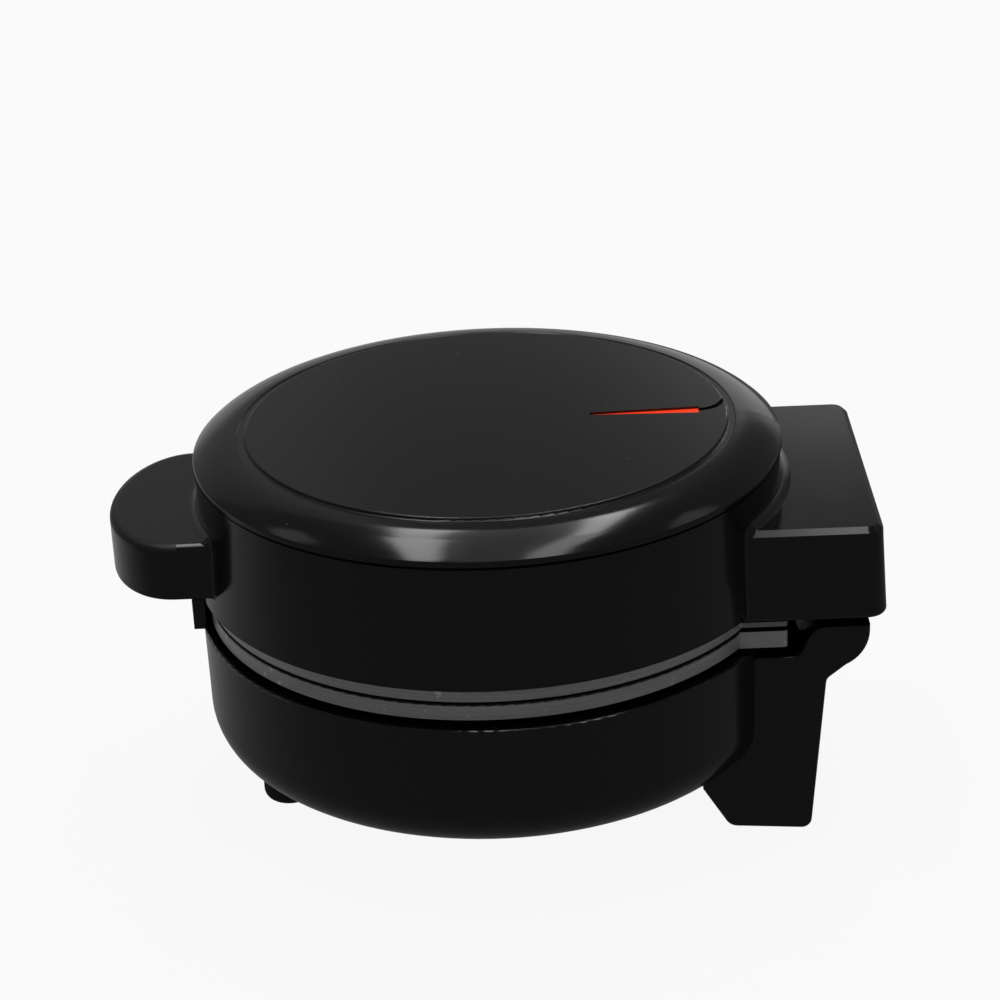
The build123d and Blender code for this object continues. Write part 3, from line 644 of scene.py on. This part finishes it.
@dataclass
class CrossScrews:
    """A ring of screws driven from below, with cross recesses, in place of the CAD's plain ones."""

    name: str
    node: str
    body: str
    angles: tuple[float, ...]
    head: Head = Head.PAN
    head_radius: float = 0.0028
    head_height: float = 0.0018
    pan_shape: tuple[Pair, ...] = (
        (0.96, 0.0), (1.0, 0.12), (1.0, 0.42), (0.92, 0.72), (0.72, 0.93), (0.42, 1.0)
    )
    cone_share: float = 0.9
    cone_widest: float = 0.97
    cone_top: float = 0.95
    cone_edge: float = 0.00015
    shank_radius: float = 0.0015
    tip_share: float = 0.6
    recess_width: float = 0.0008
    recess_reach: float = 0.0017
    recess_depth: float = 0.0010
    recess_floor: float = 0.8
    recess_border: float = 1.3
    first_turn: float = 0.6
    turn_step: float = 1.1

    @property
    def proud(self) -> float:
        """How far the head stands off its seat."""
        return 0.0 if self.head is Head.COUNTERSUNK else self.head_height

    def build(self, material: bpy.types.Material) -> bpy.types.Object:
        """Build the ring and let it stand for its CAD node.

        Args:
            material: the screws' finish.

        Returns:
            The piece.
        """
        mesh = bmesh.new()
        head_down = Matrix.Rotation(math.pi, 4, "X")
        for number, place in enumerate(self._places()):
            screw = self._screw(number)
            data = bpy.data.meshes.new("screw")
            screw.to_mesh(data)
            screw.free()
            data.transform(Matrix.Translation(place) @ head_down)
            mesh.from_mesh(data)
            bpy.data.meshes.remove(data)
        piece = finish_mesh(self.name, mesh, material, self.body)
        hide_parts(self.node)
        return piece

    def _places(self) -> list[Point]:
        """Read the screws' places from the box of the CAD node.

        Returns:
            Where each head is seated.
        """
        low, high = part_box(self.node)
        turns = [math.radians(angle) for angle in self.angles]
        radius = (high.x - self.head_radius) / max(math.cos(turn) for turn in turns)
        return [(radius * math.cos(turn), radius * math.sin(turn), low.z + self.proud) for turn in turns]

    def _outline(self) -> list[Pair]:
        """Draw half a screw, with the head's seat at height zero.

        Returns:
            Radius and height pairs, from its tip to the top of its head.
        """
        low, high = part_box(self.node)
        tip = self.proud - (high.z - low.z)
        shank, chamfer = self.shank_radius, self.tip_share * self.shank_radius
        outline = [(0.0, tip), (chamfer, tip), (shank, tip + chamfer)]
        if self.head is Head.COUNTERSUNK:
            outline += [
                (shank, -self.cone_share * self.head_height),
                (self.cone_widest * self.head_radius, -self.cone_edge),
                (self.cone_top * self.head_radius, 0.0),
                (self.recess_border * self.recess_reach, 0.0),
            ]
        else:
            outline.append((shank, 0.0))
            outline += [(across * self.head_radius, up * self.head_height) for across, up in self.pan_shape]
        return outline + [(0.0, self.proud)]

    def _screw(self, number: int) -> bmesh.types.BMesh:
        """Build one screw with its head up: the head's seat is at height zero.

        Args:
            number: its number in the ring, which sets how far it was turned in.

        Returns:
            A new bmesh.
        """
        mesh = bmesh.new()
        turned(mesh, self._outline(), Fine.SMALL)
        turn = Matrix.Rotation(self.first_turn + self.turn_step * number, 3, "Z")
        self._score_cross(mesh, turn)
        self._press_cross(mesh, turn)
        return mesh

    def _is_top(self, face: bmesh.types.BMFace) -> bool:
        """Return whether a face lies in the head's flat top."""
        return abs(face.calc_center_median().z - self.proud) < SAME_HEIGHT

    def _score_cross(self, mesh: bmesh.types.BMesh, turn: Matrix) -> None:
        """Divide the head's flat top along the sides of the cross.

        Args:
            mesh: the screw.
            turn: how far the cross is turned.
        """
        for quarter in range(4):
            arm = turn @ Matrix.Rotation(quarter * math.pi / 2, 3, "Z")
            for side in (-1, 1):
                normal = arm @ Vector((0.0, side, 0.0))
                place = normal * self.recess_width / 2
                parts = set()
                for face in filter(self._is_top, mesh.faces):
                    parts.update((face, *face.verts, *face.edges))
                bmesh.ops.bisect_plane(
                    mesh, geom=list(parts), plane_co=place, plane_no=normal, dist=MERGE_WITHIN
                )

    def _press_cross(self, mesh: bmesh.types.BMesh, turn: Matrix) -> None:
        """Press the cross into the head's flat top.

        Args:
            mesh: the screw, divided along the cross.
            turn: how far the cross is turned.
        """
        half = self.recess_width / 2
        inside = []
        for face in filter(self._is_top, mesh.faces):
            spot = turn.inverted() @ face.calc_center_median()
            along, across = max(abs(spot.x), abs(spot.y)), min(abs(spot.x), abs(spot.y))
            if across < half and along < self.recess_reach:
                inside.append(face)
        grown = bmesh.ops.extrude_face_region(mesh, geom=inside)
        bmesh.ops.delete(mesh, geom=inside, context="FACES_ONLY")
        for vert in grown["geom"]:
            if isinstance(vert, bmesh.types.BMVert):
                vert.co.z -= self.recess_depth
                vert.co.x *= self.recess_floor
                vert.co.y *= self.recess_floor


@dataclass
class Fasteners:
    """The screws that can be seen with the lid open or from below."""

    quarters: tuple[float, ...] = (45.0, 135.0, 225.0, 315.0)
    thirds: tuple[float, ...] = (0.0, 120.0, 240.0)
    flush_radius: float = 0.0030

    def build(self, material: bpy.types.Material) -> list[bpy.types.Object]:
        """Build the screw rings.

        Args:
            material: the screws' finish.

        Returns:
            The new pieces.
        """
        rings = (
            CrossScrews("plate_screws_below", "base_plate_screws", "base", self.quarters),
            CrossScrews("cover_screws_below", "cover_screws", "base", self.thirds),
            CrossScrews(
                "plate_screws_flush",
                "lid_plate_screws",
                "lid",
                self.quarters,
                Head.COUNTERSUNK,
                self.flush_radius,
            ),
        )
        return [ring.build(material) for ring in rings]


@dataclass
class LipShadeLine:
    """A painted shade line: a matte black ring in the crease under the crown's lip, where shade falls
    between the lip and the skirt.
    """

    lip_radius: float = 0.0640
    lip_bottom: float = 0.0811
    step: float = 0.0005
    below: float = 0.00022
    lap: float = 0.000015
    stand_off: float = 0.00003
    skirt_stand_off: float = 0.000048
    depth: float = 0.0002

    @staticmethod
    def finish() -> Finish:
        """Return a near-black finish that reflects next to nothing, for the painted shade."""
        return MouldedPlastic("lip_shadow", grey(0.001), roughness=0.9, specular=0.0)

    def build(self, effects: Effects) -> bpy.types.Object:
        """Build the painted shade as a thin ring over the step below the lip.

        Args:
            effects: the shared node groups.

        Returns:
            The piece.
        """
        skirt = self.lip_radius - self.step
        step_height = self.lip_bottom - self.step
        outline = [
            (self.lip_radius + self.stand_off, self.lip_bottom + self.lap),
            (skirt + self.skirt_stand_off, step_height),
            (skirt + self.skirt_stand_off, step_height - self.below),
            (skirt - self.depth, step_height - self.below),
            (skirt - self.depth, self.lip_bottom + self.lap),
        ]
        mesh = bmesh.new()
        turned(mesh, outline, Fine.ROUND, ring=True)
        material = self.finish().build(effects)
        return finish_mesh("lip_painted_shade_line", mesh, material, "lid")


@dataclass
class Housings:
    """The two moulded shells and the small mouldings on them."""

    crown_radius: float = 0.0524
    crown_edge: float = 0.0004
    crown_step: float = 0.0012
    handle_from: float = -0.0662
    black: Colour = grey(0.004)
    cream: Colour = (0.62, 0.56, 0.45, 1.0)
    rubber: Colour = grey(0.016, warmth=0.04)

    def finishes(self) -> dict[str, Finish]:
        """Choose the plastics and the rubber.

        Returns:
            The finish of each CAD node that is plastic or rubber, by its name.
        """
        zones = LidZones(
            crown_radius=self.crown_radius - self.crown_edge,
            crown_from=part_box("lid_housing")[1].z - self.crown_step,
            handle_from=self.handle_from,
        )
        lid = MouldedPlastic(
            "gloss_black_shell",
            self.black,
            roughness=0.13,
            grain=Grain(1.0e-6),
            smudge=0.35,
            dust=0.35,
            zones=zones,
        )
        base = MouldedPlastic("gloss_black_base", self.black, roughness=0.15, smudge=0.45, dust=0.2)
        cover = MouldedPlastic(
            "matte_black_cover", grey(0.012), roughness=0.5, grain=Grain(1.0e-5, scale=1800.0)
        )
        cream = MouldedPlastic(
            "cream_heatproof", self.cream, roughness=0.55, grain=Grain(6.0e-6), smudge=0.3
        )
        rubber = MouldedPlastic(
            "black_rubber", self.rubber, roughness=0.72, grain=Grain(2.0e-5, scale=2200.0), specular=0.3
        )
        return {
            "lid_housing": lid,
            "base_housing": base,
            "base_cover": cover,
            "lamp_holder": cream,
            "thermostat": cream,
            "thermal_cutout": cream,
            "terminal_block": cream,
            "front_feet": rubber,
            "rear_feet": rubber,
            "cord_bushing": rubber,
        }


@dataclass
class Cooker:
    """The plates, what heats them, and the hinge and screws that hold it all."""

    along_sheet: Point = (900.0, 40.0, 900.0)
    all_ways: Point = (500.0, 500.0, 500.0)
    heat_stain: Colour = (0.2, 0.12, 0.07, 1.0)

    def finishes(self) -> dict[str, Finish]:
        """Choose the metals.

        Returns:
            The finish of each CAD node that is metal, by its name.
        """
        lower_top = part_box("lower_plate")[1].z
        upper_bottom, upper_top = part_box("upper_plate")
        parting_height = (lower_top + upper_bottom.z) / 2
        casting = CoatedCasting("coated_casting", rim_radius=upper_top.y, parting_height=parting_height)
        sheath = Metal("element_sheath", grey(0.28), roughness=0.42, stain=self.heat_stain)
        sheet = Metal("tinned_sheet", grey(0.62), roughness=0.28, drawn=self.along_sheet)
        steel = Metal("plated_steel", grey(0.52), roughness=0.3)
        screw = Metal("screw_steel", grey(0.4), roughness=0.33, drawn=self.all_ways)
        return {
            "lower_plate": casting,
            "upper_plate": casting,
            "lower_element": sheath,
            "upper_element": sheath,
            "lower_heat_shield": sheet,
            "upper_heat_shield": sheet,
            "hinge_bracket": steel,
            "hinge_rod": steel,
            "hinge_bracket_screws": screw,
            "lower_shield_screws": screw,
            "upper_shield_screws": screw,
            "base_plate_screws": screw,
            "lid_plate_screws": screw,
            "cover_screws": screw,
        }


@dataclass
class Indicator:
    """The lens in the crown and the lamp below it."""

    dim_share: float = 0.4
    end_inset: float = 0.002
    red: Colour = (0.75, 0.04, 0.015, 1.0)
    red_glow: Colour = (1.0, 0.07, 0.02, 1.0)
    glass: Colour = (0.95, 0.75, 0.6, 1.0)
    lamp_glow: Colour = (1.0, 0.35, 0.12, 1.0)

    def finishes(self) -> dict[str, Finish]:
        """Choose the clear materials.

        Returns:
            The finish of the lens and of the lamp, by the node's name.
        """
        narrow_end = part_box("lamp_holder")[0].x - self.end_inset
        wide_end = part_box("indicator_lens")[1].x - self.end_inset
        bright_from = narrow_end + self.dim_share * (wide_end - narrow_end)
        lens = ClearPlastic(
            "red_lens",
            self.red,
            self.red_glow,
            glow_strength=0.55,
            clearness=0.25,
            brightens=(narrow_end, bright_from),
        )
        lamp = ClearPlastic("lamp_glass", self.glass, self.lamp_glow, glow_strength=0.3, clearness=0.8)
        return {"indicator_lens": lens, "indicator_lamp": lamp}


@dataclass(frozen=True)
class View:
    """The camera at the photograph's viewpoint."""

    place: Point = (0.0111, -0.5378, 0.3075)
    target: Point = (0.00168, 0.03731, 0.0503)
    roll: float = -2.62
    focal_length: float = 96.26
    sensor: float = 36.0
    clip: Pair = (0.05, 20.0)

    def build(self) -> bpy.types.Object:
        """Make the camera.

        Returns:
            The camera, which is also the scene's camera.
        """
        data = bpy.data.cameras.new("view")
        data.sensor_width = self.sensor
        data.lens = self.focal_length
        data.clip_start, data.clip_end = self.clip
        camera = bpy.data.objects.new("view", data)
        ahead = (Vector(self.target) - Vector(self.place)).normalized()
        right = ahead.cross(Vector((0, 0, 1))).normalized()
        up = right.cross(ahead)
        roll = math.radians(self.roll)
        tilted_right = math.cos(roll) * right + math.sin(roll) * up
        tilted_up = math.cos(roll) * up - math.sin(roll) * right
        turn = Matrix((tilted_right, tilted_up, -ahead)).transposed().to_4x4()
        camera.matrix_world = Matrix.Translation(self.place) @ turn
        bpy.context.scene.collection.objects.link(camera)
        bpy.context.scene.camera = camera
        return camera


@dataclass(frozen=True)
class SoftBox:
    """A long soft box that hangs level and faces down."""

    name: str
    start: Pair
    end: Pair
    width: float
    radiance: float

    def build(self, height: float) -> bpy.types.Object:
        """Hang the soft box.

        Args:
            height: its height over the table.

        Returns:
            The lamp.
        """
        first, last = Vector(self.start), Vector(self.end)
        run = last - first
        data = bpy.data.lights.new(self.name, "AREA")
        data.shape = "RECTANGLE"
        data.size, data.size_y = self.width, run.length
        data.energy = math.pi * self.width * run.length * self.radiance
        lamp = bpy.data.objects.new(self.name, data)
        middle = (first + last) / 2
        lamp.location = (middle.x, middle.y, height)
        lamp.rotation_euler = (0, 0, math.atan2(-run.x, run.y))
        bpy.context.scene.collection.objects.link(lamp)
        return lamp


def set_up_sheet(name: str, half: float, turn: Matrix, material: bpy.types.Material) -> bpy.types.Object:
    """Set up a flat square of the stage.

    Args:
        name: its name.
        half: half its side.
        turn: where it goes from lying at the origin.
        material: its finish.

    Returns:
        The sheet.
    """
    mesh = bmesh.new()
    bmesh.ops.create_grid(mesh, x_segments=1, y_segments=1, size=half, matrix=turn)
    data = bpy.data.meshes.new(name)
    mesh.to_mesh(data)
    mesh.free()
    data.materials.append(material)
    sheet = bpy.data.objects.new(name, data)
    bpy.context.scene.collection.objects.link(sheet)
    return sheet


@dataclass(frozen=True)
class TableTop:
    """The table: white to the camera but for a faint shadow, grey in a mirror, clear from below."""

    half: float = 3.0
    roughness: float = 0.9
    colour: Colour = grey(0.8)
    shadow: float = 0.08
    front_level: float = 0.12
    back_level: float = 0.38
    far_level: float = 0.48
    to_back: Pair = (-0.1, 0.2)
    to_far: Pair = (0.2, 0.6)
    to_right: Pair = (-0.05, 0.1)

    def build(self) -> bpy.types.Object:
        """Lay the table top.

        Returns:
            The table's sheet.
        """
        plain = {"Base_Color": self.colour, "Roughness": self.roughness, "Specular_IOR_Level": 0.0}
        surface = Surface("table_top", **plain)
        path = surface.add("LightPath").outputs
        seen = surface.math("MAXIMUM", path["Is Camera Ray"], path["Is Transmission Ray"])
        where = surface.split(surface.place())
        near = surface.blend(surface.ramp(where["Y"], self.to_back), self.front_level, self.back_level)
        left = surface.blend(surface.ramp(where["Y"], self.to_far), near, self.far_level)
        mirrored = surface.blend(surface.ramp(where["X"], self.to_right), left, self.front_level)
        glow = surface.add("Emission", {"Color": WHITE, "Strength": surface.blend(seen, mirrored, 1.0)})
        unshadowed = surface.times(seen, 1 - self.shadow)
        share = surface.math("MAXIMUM", unshadowed, path["Is Glossy Ray"])
        above = surface.add("MixShader", {0: share, 1: surface.shader.outputs[0], 2: glow.outputs[0]})
        below = surface.add("NewGeometry").outputs["Backfacing"]
        clear = surface.add("BsdfTransparent")
        surface.show(surface.add("MixShader", {0: below, 1: above.outputs[0], 2: clear.outputs[0]}))
        return set_up_sheet("floor", self.half, Matrix.Identity(4), surface.material)


@dataclass(frozen=True)
class Backdrop:
    """A pale backdrop behind the table that only mirrors show, soft along its top edge.

    The edge lies at one height in the middle, rises to the right as far as the span, and falls
    away beyond the shoulders.
    """

    room_level: float
    half: float = 3.0
    distance: float = 2.5
    edge: float = 0.84
    rise: float = 0.84
    span: float = 0.32
    shoulder: float = 0.45
    fall: float = 0.6
    softness: float = 0.04
    softness_outside: float = 0.18
    to_soft: Pair = (0.4, 0.7)
    level: float = 0.48
    level_right: float = 0.8
    right_starts: float = 0.1
    level_outside: float = 0.2
    to_outside: Pair = (0.7, 1.6)
    level_above_left: float = 0.21
    to_left: Pair = (-0.15, -0.35)

    def build(self) -> bpy.types.Object:
        """Hang the backdrop.

        Returns:
            The backdrop's sheet.
        """
        surface = Surface("backdrop_paper")
        where = surface.split(surface.place())
        over = self._over_edge(surface, where)
        lower, above = self._levels(surface, where)
        pale = surface.blend(surface.ramp(over, (-1.0, 1.0)), lower, above)
        glow = surface.add("Emission", {"Color": WHITE, "Strength": pale})
        clear = surface.add("BsdfTransparent")
        mirrored = surface.add("LightPath").outputs["Is Glossy Ray"]
        surface.show(surface.add("MixShader", {0: mirrored, 1: clear.outputs[0], 2: glow.outputs[0]}))
        upright = Matrix.Translation((0, self.distance, 0)) @ Matrix.Rotation(math.pi / 2, 4, "X")
        return set_up_sheet("backdrop", self.half, upright, surface.material)

    def _aside(self, surface: Surface, where: bpy.types.NodeOutputs) -> Socket:
        """Return how far a place lies to the right of the middle, up to the span."""
        return surface.math("MINIMUM", surface.math("MAXIMUM", where["X"], 0.0), self.span)

    def _over_edge(self, surface: Surface, where: bpy.types.NodeOutputs) -> Socket:
        """Work out how far a place lies over the backdrop's top edge.

        Args:
            surface: the backdrop's material.
            where: the place.

        Returns:
            The height over the edge, in units of the edge's softness.
        """
        across = surface.math("ABSOLUTE", where["X"])
        middle = surface.math("MULTIPLY_ADD", self._aside(surface, where), self.rise, self.edge)
        outside = surface.math("SUBTRACT", across, self.shoulder, clamp=True)
        edge = surface.math("MULTIPLY_ADD", outside, -self.fall, middle)
        soft = surface.blend(surface.ramp(across, self.to_soft), self.softness, self.softness_outside)
        return surface.math("DIVIDE", surface.math("SUBTRACT", where["Z"], edge), soft)

    def _levels(self, surface: Surface, where: bpy.types.NodeOutputs) -> tuple[Socket, Socket]:
        """Work out how bright the backdrop and the wall above it are.

        Args:
            surface: the backdrop's material.
            where: the place.

        Returns:
            The backdrop's level, and the level above its edge.
        """
        rightward = surface.ramp(self._aside(surface, where), (self.right_starts, self.span))
        near = surface.blend(rightward, self.level, self.level_right)
        outward = surface.ramp(surface.math("ABSOLUTE", where["X"]), self.to_outside)
        leftward = surface.ramp(where["X"], self.to_left)
        above = surface.blend(leftward, self.room_level, self.level_above_left)
        return surface.blend(outward, near, self.level_outside), above


@dataclass
class Studio:
    """The stage: camera, table, backdrop, a grey room, and the soft boxes that the shell mirrors."""

    room_level: float = 0.125
    lamp_height: float = 1.087
    lamps: tuple[SoftBox, ...] = (
        SoftBox("left_strip_front", (-0.32, -0.36), (-0.205, 0.35), 0.165, 5.4),
        SoftBox("left_strip_back", (-0.205, 0.35), (-0.125, 1.0), 0.11, 4.8),
        SoftBox("right_strip_front", (0.235, -0.58), (0.31, 0.15), 0.165, 3.2),
        SoftBox("right_strip_back", (0.305, 0.15), (0.205, 1.0), 0.11, 5.6),
        SoftBox("left_soft", (-0.2, -0.35), (-0.13, 0.95), 0.16, 0.6),
        SoftBox("right_soft", (0.23, -0.45), (0.18, 0.95), 0.16, 0.6),
        SoftBox("middle_panel", (0.0, -0.5), (0.03, 0.9), 0.34, 0.45),
        SoftBox("left_fill", (-0.8, 0.16), (-1.2, 0.24), 0.28, 0.5),
        SoftBox("right_fill", (0.85, 0.18), (1.3, 0.3), 0.3, 0.5),
    )

    def _room(self) -> None:
        """Light the room evenly, and show it white to the camera and through clear pieces."""
        world = bpy.data.worlds.new("room")
        bpy.context.scene.world = world
        world.use_nodes = True
        tree = Tree(world.node_tree)
        background = world.node_tree.nodes["Background"]
        path = tree.add("LightPath").outputs
        seen = tree.math("MAXIMUM", path["Is Camera Ray"], path["Is Transmission Ray"])
        colour = tree.tint(seen, grey(self.room_level), WHITE)
        world.node_tree.links.new(colour, background.inputs["Color"])
        background.inputs["Strength"].default_value = 1.0

    def build(self) -> None:
        """Set up the room, the table, the backdrop, the lamps and the camera."""
        bpy.context.scene.view_settings.view_transform = "Standard"
        View().build()
        TableTop().build()
        Backdrop(self.room_level).build()
        self._room()
        for lamp in self.lamps:
            lamp.build(self.lamp_height)
            log.info("hung %s", lamp.name)


def dress(finishes: dict[str, Finish], effects: Effects, made: dict[str, bpy.types.Material]) -> None:
    """Give CAD nodes their finishes.

    Args:
        finishes: the finish of each node, by the node's name.
        effects: the shared node groups.
        made: the materials made so far, by name, which grows.
    """
    for node, finish in finishes.items():
        if finish.name not in made:
            made[finish.name] = finish.build(effects)
        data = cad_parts[node].data
        data.materials.clear()
        data.materials.append(made[finish.name])
        log.info("dressed %s in %s", node, finish.name)


def main() -> None:
    """Set the stage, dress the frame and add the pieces."""
    logging.basicConfig(level=logging.INFO, format="%(message)s")
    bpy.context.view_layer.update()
    Studio().build()
    effects = Effects()
    made: dict[str, bpy.types.Material] = {}
    for assembly in (Housings(), Cooker(), Indicator()):
        dress(assembly.finishes(), effects, made)
    pieces = Fasteners().build(made["screw_steel"])
    # a matte black ring under the lid's lip, painted as shade
    pieces.append(LipShadeLine().build(effects))
    for piece in pieces:
        log.info("built %s with %d faces", piece.name, len(piece.data.polygons))


if __name__ == "__main__":
    main()
